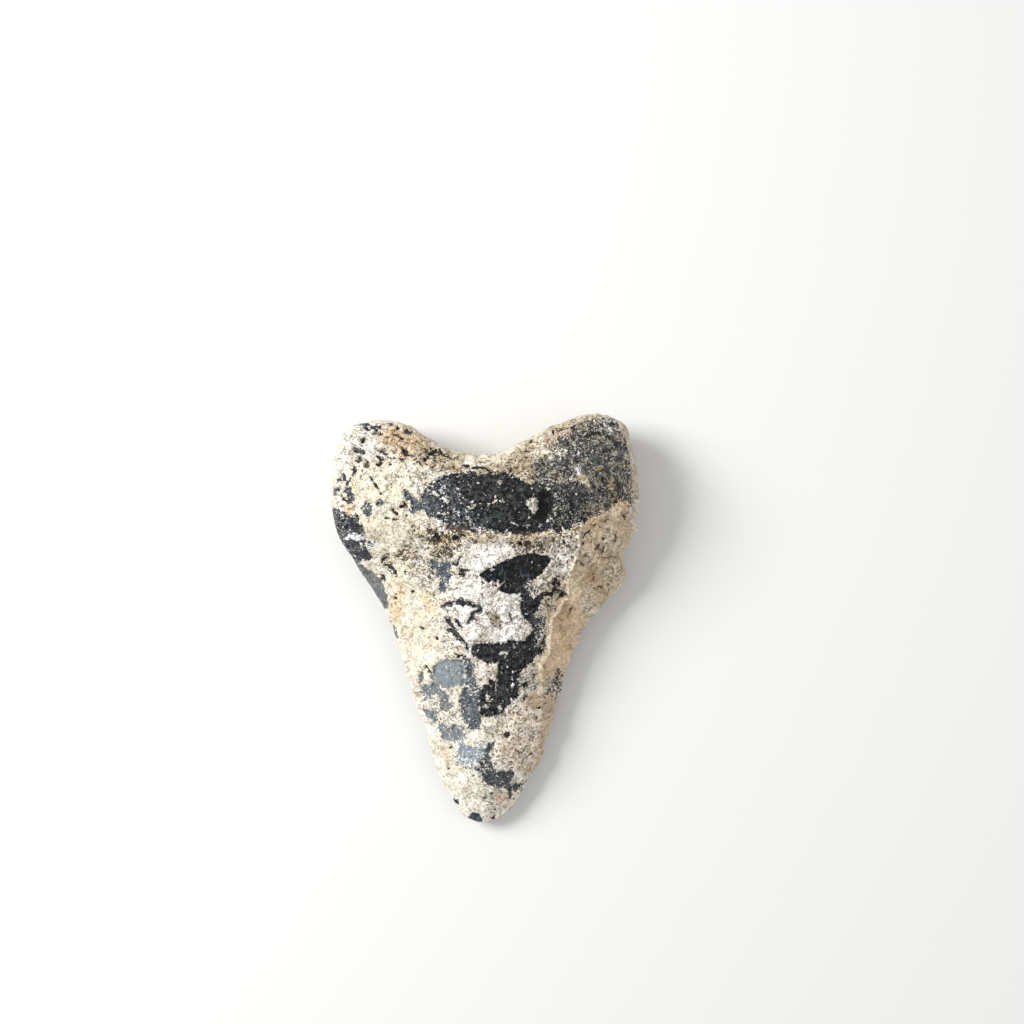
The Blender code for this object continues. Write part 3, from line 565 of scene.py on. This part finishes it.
# Tints of the crust, laid over a chalky ground as soft strokes: colour, coarseness, edge softness.
GROUND = ((232, 228, 217), 0.6)
CRUST_TINTS = [
    ((234, 228, 210), 0.42, 3.0, [[(-24, 29, 5), (-20, 24, 5), (-22, 18, 4), (-14, 20, 4)]]),
    ((234, 228, 210), 0.32, 3.0, [[(-20, 8, 4), (-17, 2, 5), (-14, -5, 4), (-12.5, -10, 3)]]),
    ((254, 253, 248), 0.45, 2.0, [[(-1, 13, 3.5), (3, 14.6, 2.4)]]),
    ((254, 252, 249), 0.52, 2.5, [[(-2, 6, 2.8), (1, 2, 4), (4, -1, 4)], [(-4, 3, 3), (-3, -2, 3)]]),
    ((228, 226, 218), 0.50, 2.5, [[(-30, 38, 3), (-31, 30, 2)], [(-26, 39, 2), (-24, 36, 2)]]),
    ((237, 234, 220), 0.36, 2.5, [[(-11, -24, 2), (-8, -31, 3), (-4, -37, 3.5)]]),
    ((251, 247, 237), 0.50, 1.2, [[(-13.4, -17.4, 1.4), (-12.6, -21, 1)]]),
    ((252, 249, 242), 0.65, 1.2, [[(-0.6, -11.6, 1.2)]]),
    ((212, 190, 162), 0.60, 2.0, [[(-19, 37.5, 2.5), (-15, 36, 2.5), (-12.5, 34.6, 1.5)]]),
    ((230, 221, 201), 0.75, 1.2,
     [[(-8, 34.8, 1), (-2, 33.2, 1.2), (3, 33.5, 1.2), (6, 34.8, 1.2), (11, 37.2, 1.2)]]),
    ((212, 200, 177), 1.15, 1.5, [[(-12, 33.2, 1.6), (-8, 32.6, 1.6), (-3, 31.6, 1.2), (1, 31.2, 1)]]),
    ((184, 171, 147), 1.00, 1.5,
     [[(3, 31.2, 1.4), (6, 31.8, 2.2), (9.5, 32.4, 2.4), (10.5, 30, 2)], [(9, 36, 1.2)],
      [(14, 38.6, 1.4), (18, 40.2, 1.4), (22, 41.6, 1)]]),
    ((246, 236, 214), 0.95, 1.6,
     [[(-13.5, 17.6, 1.2), (-9.5, 16.8, 1.8), (-5, 16.3, 1.5)], [(-19, 12.6, 1), (-16, 13.4, 1)],
      [(-9, 14, 1.2)]]),
    ((210, 200, 183), 1.30, 1.8, [[(8, 15.6, 1.6), (12.5, 15, 1.4)], [(15.5, 6, 2.4)], [(14, 2.2, 1.4)]]),
    ((214, 195, 170), 0.34, 2.2,
     [[(26, 21, 4), (25, 14, 6.5), (23, 8, 5.5), (19.5, 3, 5), (17, -4, 3.6), (15.2, -10, 3)],
      [(13.2, -18, 2), (11.8, -26, 2.2), (9.8, -31, 1.8)]]),
    ((232, 207, 175), 0.25, 1.6, [[(18.4, 2, 2.4), (16.4, -4, 2.4), (14.6, -9, 1.8)]]),
    ((254, 243, 228), 0.62, 2.0, [[(8.6, -19, 2.8), (7.4, -24, 3.4), (6.6, -29, 3)]]),
    ((228, 214, 188), 0.70, 1.3, [[(26.4, 11.8, 1), (26.8, 9.6, 1.5), (25.6, 8, 1)], [(28, 22.6, 1.2)]]),
    ((170, 156, 134), 0.20, 0.5, [[(26.2, 8.2, 0.4), (26.6, 7.9, 0.4)]]),
    ((197, 173, 142), 0.30, 1.4,
     [[(22.8, 10.2, 0.4), (22.9, 8.4, 0.7), (22.8, 6.8, 0.5)], [(17, 2.4, 0.8), (15.6, -1.6, 0.8)]]),
    ((246, 228, 198), 0.35, 1.2,
     [[(18, 8.2, 0.9), (18.4, 6.4, 0.8)], [(27.6, 24, 0.4), (26.4, 22.4, 0.4)]]),
    ((240, 232, 214), 0.60, 1.0, [[(21.2, 4.8, 0.7), (21.4, 2.8, 0.9), (20.9, 1.2, 0.6)]]),
    ((214, 200, 178), 0.50, 1.6,
     [[(25.6, 18.4, 1.2), (26.2, 15, 1.2)], [(21.4, 13, 0.9), (23, 15.4, 0.9)]]),
    ((250, 246, 238), 0.75, 1.4,
     [[(15.6, 13.4, 1.2), (16.4, 10.4, 1.2)], [(18, 15.6, 0.7), (18, 12.6, 0.7)]]),
    ((190, 182, 160), 0.90, 1.2, [[(1.4, 0.4, 0.7), (3.4, -0.2, 0.7)]]),
    ((170, 165, 152), 0.90, 2.0, [[(13, 31, 3), (18, 33.5, 5), (24, 35, 5.5), (27, 29, 3.4), (20, 26, 4)]]),
    ((238, 223, 196), 0.80, 1.0,
     [[(-3, 17.3, 0.7), (1, 16.8, 0.8), (5, 16.6, 0.8), (9, 16.4, 0.8), (13, 17.4, 0.6)]]),
    ((255, 246, 224), 1.10, 1.2, [[(14, 17.2, 0.9), (18, 17.6, 1.2), (20, 18.6, 0.7)]]),
    ((236, 210, 172), 0.60, 0.9, [[(19.8, 19, 0.5), (21.4, 19.3, 0.6), (22.8, 19.7, 0.5)]]),
    ((226, 194, 158), 0.60, 0.8,
     [[(27.4, 24.6, 0.3), (28.6, 24.4, 0.3)], [(-28.2, 22.6, 0.7)], [(29.4, 22.8, 0.3), (29, 24, 0.3)]]),
    ((240, 212, 156), 0.80, 0.8, [[(-8.6, 15.8, 0.4), (-7.4, 15.2, 0.3)]]),
    ((190, 172, 134), 0.60, 0.8, [[(25, 29.6, 0.4), (26, 28.2, 0.5), (26.6, 26.6, 0.4)]]),
    ((196, 178, 150), 0.40, 0.6,
     [[(19.6, 29.4, 0.6), (20.8, 29, 0.7), (21.2, 28.2, 0.5)], [(23.6, 31.2, 0.6)]]),
    ((196, 186, 166), 0.70, 1.4, [[(17, 41.2, 1.2), (21, 41.8, 1.2), (24, 42.2, 1)], [(26, 38.4, 1.4)]]),
    ((252, 249, 238), 0.35, 0.7,
     [[(-3.8, 32.8, 0.4), (-2.6, 32.3, 0.5), (-1.4, 32, 0.4)], [(10.4, 34.6, 0.4), (16.2, 34.3, 0.3)]]),
    ((252, 247, 233), 0.30, 1.4, [[(-2.6, -24.6, 1.5), (0.4, -25.2, 1)]]),
    ((255, 252, 244), 0.45, 0.8, [[(6.9, -32, 0.4), (6.8, -33.6, 0.5)]]),
    ((128, 108, 90), 0.30, 0.4, [[(4.7, -24.3, 0.4)]]),
    ((216, 194, 164), 0.45, 1.2, [[(12.4, -11, 0.8), (12.6, -13.4, 0.8)], [(10.6, -17.2, 1.2)]]),
    ((240, 247, 247), 0.50, 0.6, FROSTED_SHOULDER + FROSTED_ENAMEL),
    ((255, 255, 255), 0.50, 0.5, WHITE_CHIPS),
    ((234, 214, 182), 0.40, 1.6,
     [[(-12, 3.6, 0.6), (-11, 1.4, 0.8)], [(-17.6, 6.4, 0.5), (-18.2, 0.6, 0.8)], [(-11.2, -4.6, 0.6)]]),
    ((204, 188, 172), 0.60, 1.4, [[(13.4, 37, 0.8), (17.6, 38.4, 0.8)]]),
    ((236, 206, 182), 0.40, 1.4, [[(3, -37.2, 0.7), (4.4, -38.2, 0.5)]]),
    ((220, 204, 176), 0.30, 1.4, [[(-8.2, -28, 0.7)]]),
    ((204, 186, 164), 0.20, 2.2,
     [[(28.4, 41, 0.9), (30.6, 38, 1), (31.2, 34, 1), (31.9, 30, 1), (32.2, 27, 1)]]),
]
UNDER_TINTS = [
    ((208, 194, 168), 0.60, 5.0, [[(-20, 28, 8), (0, 26, 6), (22, 30, 8)]]),
    ((188, 168, 138), 0.80, 3.0, [[(-20, 14, 2.5), (-6, 15, 2.5), (8, 16, 2.5), (20, 18, 2.5)]]),
    ((222, 214, 194), 0.50, 4.0, [[(8, 6, 5), (8, -12, 4), (2, -32, 3)]]),
    ((209, 189, 162), 0.40, 4.0,
     [[(28, 22, 3), (27, 12, 3.5), (23, 4, 3), (18.5, -5, 3), (14.5, -18, 2.5)]]),
]
crust_tint = np.tile(linear(GROUND[0]), (count, 1))
grain = np.full(count, GROUND[1])
for face_share, tints in ((upper, CRUST_TINTS), (1 - upper, UNDER_TINTS)):
    for colour, coarseness, softness, strokes in tints:
        depth = depth_in_any(plan + wobble, strokes) + clumps
        cover = step(-softness, 0.6 * softness, depth) * face_share
        crust_tint += (linear(colour) - crust_tint) * cover[:, None]
        grain += (coarseness - grain) * cover

# The steep walls are bleached paler here and there, and smoother than the faces.
WALL_CREAM = (230, 222, 204)
WALL_BLEACH = 0.65
WALL_SMOOTHING = 0.5
walls = WALL_BLEACH * step(0.80, 0.30, facing_up) * step(-0.15, 0.45, ripple(6.5, 15))
crust_tint += (linear(WALL_CREAM) - crust_tint) * walls[:, None]
grain *= 1 - WALL_SMOOTHING * step(0.70, 0.30, facing_up)

# The thick slab of crust over the right flank, whose near border stands up as a rim; the rim's crest
# is painted pale cream as a highlight. Its line runs from the ledge towards the tip.
SLAB_RIM = [(19.2, 18.2), (19.2, 15.0), (18.6, 12.2), (16.9, 8.4), (16.9, 4.6), (13.7, 0.2),
            (13.1, -4.0), (12.9, -7.3), (11.2, -9.6), (11.4, -12.3), (12.4, -15.0)]
RIM_MIDDLE = 0.30             # how far inside the line the rim is highest
RIM_WIDTH = 0.32
RIM_WANDER = 0.4
RIM_RISE = 0.30
SLAB_RISE = 0.35
SLAB_FADE = 8.0               # the slab thins out to nothing this far from its line
SLAB_RIM_FAR = 1000.0         # further from the line than any point is
# The painted highlight along the rim's crest: its colour, and how strongly it is laid on.
RIM_HIGHLIGHT_CREAM = (242, 230, 208)
RIM_HIGHLIGHT_SHARE = 0.8
rim_side = np.full(count, SLAB_RIM_FAR)
rim_plan = plan + RIM_WANDER * wobble
for (ax, ay), (bx, by) in zip(SLAB_RIM, SLAB_RIM[1:]):
    run = np.array([bx - ax, by - ay])
    offset = rim_plan - (ax, ay)
    share = np.clip(offset @ run / (run @ run), 0.0, 1.0)
    gap = np.linalg.norm(offset - share[:, None] * run, axis=1)
    side = np.sign(run[0] * offset[:, 1] - run[1] * offset[:, 0])
    rim_side = np.where(gap < np.abs(rim_side), gap * side, rim_side)
upward = step(0.0, 0.4, facing[:, 2])
along_rim = upward * step(-16.5, -13.0, places[:, 1]) * step(20.5, 17.0, places[:, 1])
rim_crest = np.exp(-((rim_side - RIM_MIDDLE) / RIM_WIDTH) ** 2) * along_rim
slab = SLAB_RISE * step(-0.25, 0.25, rim_side) * step(SLAB_FADE, 0.0, rim_side) * along_rim
slab += RIM_RISE * rim_crest
# A painted highlight: the rim's crest is lightened towards pale cream.
crust_tint += (linear(RIM_HIGHLIGHT_CREAM) - crust_tint) * (RIM_HIGHLIGHT_SHARE * rim_crest)[:, None]
bare *= 1 - rim_crest

# The ledge: the crust's rounded lip along the foot of the bare bone.
LEDGE_LIP = [(-1.5, 17.2, 1.0), (4.0, 16.6, 1.1), (9.0, 16.2, 1.1), (14.0, 17.0, 1.1), (19.0, 18.6, 1.1),
             (24.5, 21.2, 0.9)]
LIP_RISE = 0.45
lip = LIP_RISE * step(-0.6, 0.9, depth_in(plan + wobble, LEDGE_LIP)) * upward

# Rings and crescents that small worm tubes left on the crust: middle x, y, radius and share of a
# full turn.
WORM_RINGS = [(21.3, 3.6, 0.65, 1.0), (-15.9, 9.3, 0.8, 0.7), (-16.4, -2.8, 1.3, 1.0),
              (-10.6, -17.6, 1.2, 0.7), (-5.2, -6.4, 0.9, 0.8), (24.6, 16.4, 0.6, 1.0),
              (-27.9, 36.4, 0.5, 0.8), (8.4, -27.0, 0.6, 1.0)]
RING_WANDER = 0.25
RING_WIDTH = 0.26
RING_RISE = 0.28
RING_DIP = 0.25               # and the floor inside a ring lies this much lower
ring_crest = np.zeros(count)
ring_dip = np.zeros(count)
for x, y, radius, turn in WORM_RINGS:
    offset = plan + RING_WANDER * wobble - (x, y)
    away = np.linalg.norm(offset, axis=1)
    open_side = step(turn, turn - 0.08, np.abs(np.arctan2(offset[:, 1], offset[:, 0])) / math.pi)
    crest = np.exp(-((away - radius) / RING_WIDTH) ** 2) * open_side * upward
    ring_crest = np.maximum(ring_crest, crest)
    ring_dip = np.maximum(ring_dip, step(radius - 0.15, radius - 0.5, away) * upward)
bare *= 1 - ring_crest

# The relief, in millimetres along the skin's own direction.
RIM_GROWTH = 0.40             # gives back what the rounding of the skin took off the thin rim
LOBE_GROWTH = 0.10            # and off the thicker rim of the root's lobes
LOBES_FROM = (22.0, 30.0)     # the rim's growth passes into the lobes' between these two y
SHOULDER_GROWTH = 0.80        # and what it took off the left shoulder, where the rim is thinnest
SHOULDER_MIDDLE = 16.0
SHOULDER_SPREAD = 6.0
# Single swellings and notches of the outline: x, y, how far it grows out, and how far it reaches.
SWELLINGS = [(31.2, 19.0, 1.0, 0.9), (31.4, 21.0, -0.9, 0.8), (29.2, 13.6, -0.6, 2.0),
             (9.4, -33.6, -0.8, 4.2), (-27.5, 39.5, 0.55, 2.6), (28.6, 39.6, 0.35, 2.2)]
RIDGES = 0.50                 # height of the coarse crust's sharp ridges
CRUMBS = 0.25                 # and of the crumbs between them
CREASE_LEVEL = 0.2            # mean of a folded ripple, which turns its waves into ridges
gone = step(0.05, 0.85, bare)
steep = step(0.85, 0.35, np.abs(facing_up))
ridges = CREASE_LEVEL - np.abs(ripple(1.7, 10))
crumbs = np.abs(ripple(0.85, 11)) - CREASE_LEVEL
lumps = waves([(0.55, 4.4, 8), (0.30, 2.2, 9), (0.10, 0.8, 12)])
lumps += grain * (RIDGES * ridges + CRUMBS * crumbs)
worn = waves([(0.15, 2.4, 13), (0.072, 0.9, 14)])
relief = (1 - gone) * (lumps + slab + lip) + gone * (worn - sink * (1 - 0.7 * steep))
relief += RING_RISE * ring_crest - RING_DIP * ring_dip
relief += steep * (RIM_GROWTH + (LOBE_GROWTH - RIM_GROWTH) * step(*LOBES_FROM, places[:, 1]))
from_shoulder = (places[:, 1] - SHOULDER_MIDDLE) / SHOULDER_SPREAD
on_shoulder = step(-15.0, -25.0, places[:, 0]) * np.exp(-from_shoulder ** 2)
relief += SHOULDER_GROWTH * steep * on_shoulder
for x, y, growth, reach in SWELLINGS:
    away = np.linalg.norm(places[:, :2] - (x, y), axis=1)
    relief += growth * steep * np.exp(-((away / reach) ** 2))

# The hollow where a vessel entered the root, beside the loose chip.
VESSEL_HOLLOW = [(12.6, 24.4, 1.5), (12.4, 22.0, 1.7)]
HOLLOW_DEPTH = 0.8
relief -= HOLLOW_DEPTH * step(-0.8, 1.4, depth_in(plan + wobble, VESSEL_HOLLOW))

# Painted shade and dirt gather where the relief lies lower than the skin around it.
DIRT_AND_SHADE_ROUNDS = 5
dirt_and_shade = step(0.02, 0.30, eased(relief, DIRT_AND_SHADE_ROUNDS) - relief)
skin_places = (places + facing * relief[:, None]) * MM
skin_places[:, 2] = np.maximum(skin_places[:, 2], 0.0)
tooth.data.vertices.foreach_set("co", skin_places.astype(np.float32).ravel())


def keep(name, values):
    """Stores a number or a colour for each point of the tooth's skin."""
    single = values.ndim == 1
    if not single:
        values = np.column_stack([values, np.ones(len(values))])
    layer = tooth.data.attributes.new(name, "FLOAT" if single else "FLOAT_COLOR", "POINT")
    layer.data.foreach_set("value" if single else "color", values.astype(np.float32).ravel())


keep("bare", bare)
keep("crust_tint", crust_tint)
keep("core_tint", core_tint)
keep("grain", grain)
keep("frost", frost)
keep("specks", specks)
# Where the skin lies low: painted shade, and dirt.
keep("dirt_and_shade", dirt_and_shade)

# The material: what the skin's points say, broken up by grains of a millimetre and less.
fossil = bpy.data.materials.new("fossil_crust")
fossil.use_nodes = True
tree = fossil.node_tree
shader = tree.nodes["Principled BSDF"]


def add(kind, wires=None, **settings):
    """A node with its settings, and its inputs either set or wired."""
    node = tree.nodes.new(kind)
    for setting, value in settings.items():
        setattr(node, setting, value)
    for socket, value in (wires or {}).items():
        if isinstance(value, bpy.types.NodeSocket):
            tree.links.new(value, node.inputs[socket])
        else:
            node.inputs[socket].default_value = value
    return node


def maths(operation, *values):
    """A sum of one to three values."""
    return add("ShaderNodeMath", dict(enumerate(values)), operation=operation).outputs[0]


def times(first, second):
    """One value times another."""
    return maths("MULTIPLY", first, second)


def remap(value, low, high, first=0.0, last=1.0):
    """A value's range stretched to another, with soft ends."""
    wires = {"Value": value, "From Min": low, "From Max": high, "To Min": first, "To Max": last}
    return add("ShaderNodeMapRange", wires, interpolation_type="SMOOTHSTEP").outputs[0]


def tinted(share, under, over, how="MIX"):
    """One colour laid over another, or multiplied into it."""
    over = over if isinstance(over, bpy.types.NodeSocket) else (*over, 1.0)
    return add("ShaderNodeMix", {0: share, 6: under, 7: over}, data_type="RGBA", blend_type=how).outputs[2]


def stored(name, output="Fac"):
    """A value kept at the skin's points."""
    return add("ShaderNodeAttribute", attribute_name=name).outputs[output]


def split(colour):
    """A colour's three parts."""
    return add("ShaderNodeSeparateColor", {"Color": colour}).outputs


PER_METRE = 1000.0            # grains of a millimetre in a metre, the unit of the skin's places
place = add("ShaderNodeTexCoord").outputs["Object"]


def grit(wavelength, detail=2.0, roughness=0.5, squeeze=None, where=None):
    """A grey noise whose grains measure so many millimetres."""
    where = where or place
    if squeeze:
        where = add("ShaderNodeMapping", {"Vector": where, "Scale": squeeze}).outputs[0]
    wires = {"Vector": where, "Scale": PER_METRE / wavelength, "Detail": detail, "Roughness": roughness}
    return add("ShaderNodeTexNoise", wires).outputs[0]


def bent(wavelength, reach):
    """Places on the skin, pushed about by a noise so that what is drawn there curls."""
    wires = {"Vector": place, "Scale": PER_METRE / wavelength, "Detail": 1.0}
    push = add("ShaderNodeTexNoise", wires).outputs["Color"]
    push = add("ShaderNodeVectorMath", {0: push, 1: (reach * MM,) * 3}, operation="MULTIPLY").outputs[0]
    return add("ShaderNodeVectorMath", {0: place, 1: push}).outputs[0]


def crease(where, wavelength, width, gaps, shut):
    """Thin wandering lines, 1 along their middle, broken by gaps where another noise is low."""
    off_middle = maths("ABSOLUTE", maths("SUBTRACT", grit(wavelength, 1.5, 0.6, where=where), 0.5))
    line = remap(off_middle, width, width * 0.3)
    return times(line, remap(grit(gaps, 1.0), shut, shut + 0.10))


def sprinkle(where, spacing, smallest, largest, share):
    """Round specks, one at most in each cell of a random mesh, on so large a share of the cells."""
    cells = add("ShaderNodeTexVoronoi", {"Vector": where, "Scale": PER_METRE / spacing})
    luck = split(cells.outputs["Color"])
    size = remap(luck["Green"], 0.0, 1.0, smallest / spacing, largest / spacing)
    speck = remap(maths("SUBTRACT", size, cells.outputs["Distance"]), 0.0, 0.08)
    return times(speck, maths("LESS_THAN", luck["Red"], share))


# The noises that the crust and the core share, by what their grains look like.
coarse = stored("grain")
swirl = bent(1.5, 1.6)
curled = bent(0.6, 0.7)
lumpy = grit(1.7, 5.0, 0.66)
fine = grit(0.42, 2.0, where=swirl)
dapple = grit(0.8, 2.0, 0.6, where=swirl)
broad = grit(3.6, 1.0)
sand = grit(0.27, 1.0)

# How fast each spot's crust clings, and so where the core shows: the more so the barer the skin.
fine_share = maths("MULTIPLY_ADD", stored("specks"), 0.42, 0.33)
clinging = add("ShaderNodeMix", {"Factor": fine_share, "A": lumpy, "B": fine}).outputs[0]
clinging = remap(clinging, 0.37, 0.63, 0.02, 0.98)
shown = remap(maths("SUBTRACT", clinging, stored("bare")), 0.035, -0.035)

# The crust's plates, about 2 mm wide, with open joints here and there, painted dark as the shadow along the
# plates' edges.
PLATE = 2.1
plate_wires = {"Vector": bent(2.4, 2.0), "Scale": PER_METRE / PLATE}
plate_edge = add("ShaderNodeTexVoronoi", plate_wires, feature="DISTANCE_TO_EDGE").outputs["Distance"]
plate = split(add("ShaderNodeTexVoronoi", plate_wires).outputs["Color"])["Red"]
shaded_joints = times(remap(plate_edge, 0.060, 0.020), remap(grit(1.0, 1.0), 0.54, 0.60))

# Pale threads that lie on the crust, and the dark ticks, holes and pockets that go into it; their dark is
# partly painted shade.
threads = crease(swirl, 0.95, 0.045, 0.8, 0.46)
ticks = maths("MAXIMUM", crease(swirl, 1.9, 0.046, 0.75, 0.475), crease(place, 1.1, 0.050, 0.65, 0.505))
ticks = maths("MAXIMUM", ticks, times(shaded_joints, 0.85))
holes = sprinkle(curled, 1.0, 0.06, 0.24, maths("MULTIPLY_ADD", coarse, 0.14, 0.05))
# Holes, ticks and joints painted nearly black: their own dark fill, and painted shade inside them.
shaded_hollows = times(maths("MAXIMUM", ticks, holes), remap(coarse, 0.0, 0.9, 0.22, 1.0))
# The crust's low pockets, browned: partly dirt, partly painted shade.
shaded_pockets = times(remap(clinging, 0.36, 0.04), remap(coarse, 0.2, 1.0, 0.30, 1.0))
# Paler tops of the raised grains: bleached chalk, and partly a painted highlight on them.
chalk_and_highlights = times(remap(clinging, 0.50, 0.95), remap(coarse, 0.2, 0.8, 0.20, 0.85))
dapples = times(remap(dapple, 0.52, 0.40), remap(coarse, 0.1, 0.8, 0.45, 1.0))
sandy = times(remap(sand, 0.53, 0.33), remap(coarse, 0.2, 1.0, 0.60, 1.0))

# What marks the crust, in the order in which it is laid on: how much of it shows, and its tint. Stains and
# dirt are among them, and painted highlights and shade.
crust = stored("crust_tint", "Color")
for share, tint in (
    (remap(broad, 0.42, 0.62, 0.0, 0.8), (0.96, 0.925, 0.865)),
    # Bleached chalk and a painted highlight on the raised grains.
    (chalk_and_highlights, (1.17, 1.19, 1.23)),
    (dapples, (0.80, 0.76, 0.71)),
    (sandy, (0.81, 0.78, 0.74)),
    (remap(plate, 0.3, 1.0), (0.87, 0.865, 0.86)),
    (times(threads, 0.9), (1.34, 1.36, 1.40)),
    # Low pockets darkened: dirt and painted shade.
    (shaded_pockets, (0.42, 0.345, 0.27)),
    # Holes and cracks painted nearly black, partly as painted shade.
    (shaded_hollows, (0.10, 0.078, 0.06)),
    # Painted shade and dirt in the skin's recesses, browned.
    (times(stored("dirt_and_shade"), 0.7), (0.40, 0.33, 0.26)),
):
    crust = tinted(share, crust, tint, "MULTIPLY")

# The core's own marks: streaks along the enamel, frost, grey speckling and pale flecks.
ENAMEL_FROM = (0.0175, 0.0165)   # the enamel lies below this y (m), with a soft start
striae = remap(grit(1.1, 2.0, 0.5, (3.0, 0.25, 3.0)), 0.35, 0.65, 0.0, 0.6)
frosting = times(remap(grit(0.95, 3.0), 0.46, 0.64), stored("frost"))
speckling = times(times(remap(dapple, 0.52, 0.68), stored("specks")), 0.5)
streaks = remap(grit(0.45, 2.0, 0.6, (1.0, 0.07, 1.0)), 0.54, 0.70, 0.0, 0.30)
streaks = times(streaks, remap(add("ShaderNodeSeparateXYZ", {"Vector": place}).outputs["Y"], *ENAMEL_FROM))
flecks = sprinkle(curled, 1.0, 0.10, 0.36, times(stored("specks"), 0.26))
dust = sprinkle(swirl, 0.5, 0.06, 0.17, times(stored("specks"), 0.30))
strands = times(threads, times(stored("specks"), 0.25))
flecks = maths("MAXIMUM", flecks, maths("MAXIMUM", dust, strands))

core = stored("core_tint", "Color")
for share, tint, how in (
    (striae, (0.50, 0.50, 0.53), "MULTIPLY"),
    (frosting, (0.46, 0.49, 0.50), "MIX"),
    (remap(sand, 0.52, 0.34, 0.0, 0.8), (0.50, 0.50, 0.50), "MULTIPLY"),
    (speckling, (0.10, 0.105, 0.11), "MIX"),
    (streaks, (0.20, 0.23, 0.26), "MIX"),
    (flecks, (0.62, 0.63, 0.61), "MIX"),
):
    core = tinted(share, core, tint, how)

# The finest relief, which is left to the light: what stands up or lies lower, and how far.
height = maths("MULTIPLY_ADD", shown, -0.10 * MM, 0.10 * MM)
for what, rise in (
    (clinging, maths("MULTIPLY_ADD", shown, -0.10 * MM, times(coarse, 0.15 * MM))),
    (fine, remap(shown, 0.0, 1.0, 0.10 * MM, 0.05 * MM)),
    (sand, 0.05 * MM),
    (threads, 0.04 * MM),
    (plate, 0.08 * MM),
    (flecks, 0.05 * MM),
    (shaded_hollows, -0.12 * MM),
):
    height = maths("MULTIPLY_ADD", what, rise, height)

CRUST_ROUGHNESS = 0.90
CORE_ROUGHNESS = 0.45         # satin, like worn enamel
relief_light = add("ShaderNodeBump", {"Height": height, "Strength": 1.0, "Distance": 1.0})
tree.links.new(tinted(shown, crust, core), shader.inputs["Base Color"])
tree.links.new(remap(shown, 0.0, 1.0, CRUST_ROUGHNESS, CORE_ROUGHNESS), shader.inputs["Roughness"])
tree.links.new(relief_light.outputs[0], shader.inputs["Normal"])
shader.inputs["Specular IOR Level"].default_value = 0.15
tooth.data.materials.clear()
tooth.data.materials.append(fossil)

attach(tooth, "root")
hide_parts("megalodon_tooth")

# ------------------------------
# The table: a plain pale sheet under the tooth, wider than any view of it.
# ------------------------------

TABLE_HALF = 1.5
TABLE_PALE = (0.74, 0.74, 0.73, 1.0)
table_mesh = bpy.data.meshes.new("table")
corners = [(x * TABLE_HALF, y * TABLE_HALF, 0.0) for x, y in ((-1, -1), (1, -1), (1, 1), (-1, 1))]
table_mesh.from_pydata(corners, [], [(0, 1, 2, 3)])
table = bpy.data.objects.new("table", table_mesh)
bpy.context.scene.collection.objects.link(table)
paper = bpy.data.materials.new("pale_paper")
paper.use_nodes = True
sheet = paper.node_tree.nodes["Principled BSDF"]
sheet.inputs["Base Color"].default_value = TABLE_PALE
sheet.inputs["Roughness"].default_value = 0.9
table_mesh.materials.append(paper)

# ------------------------------
# Light: a wide soft window to the left, a weak one to the right, and an even sky.
# ------------------------------

SKY_STRENGTH = 0.55

scene = bpy.context.scene
scene.view_settings.view_transform = "Standard"
sky = bpy.data.worlds.new("sky")
sky.use_nodes = True
sky.node_tree.nodes["Background"].inputs["Color"].default_value = (1.0, 1.0, 1.0, 1.0)
sky.node_tree.nodes["Background"].inputs["Strength"].default_value = SKY_STRENGTH
scene.world = sky


def window(name, spot, side, watts):
    """A square soft light that faces the tooth."""
    lamp = bpy.data.lights.new(name, "AREA")
    lamp.size = side
    lamp.energy = watts
    thing = bpy.data.objects.new(name, lamp)
    thing.location = spot
    thing.rotation_euler = (-thing.location).to_track_quat("-Z", "Y").to_euler()
    scene.collection.objects.link(thing)


window("left_window", (-0.55, 0.25, 0.42), side=0.36, watts=7.0)
window("right_window", (0.60, -0.10, 0.55), side=0.60, watts=1.2)

# ------------------------------
# Camera: straight above, at the eye that the tooth's strokes are drawn for. Its frame's middle
# lies up and to the right of the tooth's.
# ------------------------------

SENSOR_WIDTH = 36.0
LENS = 74.7

camera = bpy.data.cameras.new("camera")
camera.sensor_width = SENSOR_WIDTH
camera.lens = LENS
viewer = bpy.data.objects.new("camera", camera)
viewer.location = [length * MM for length in EYE]
scene.collection.objects.link(viewer)
scene.camera = viewer
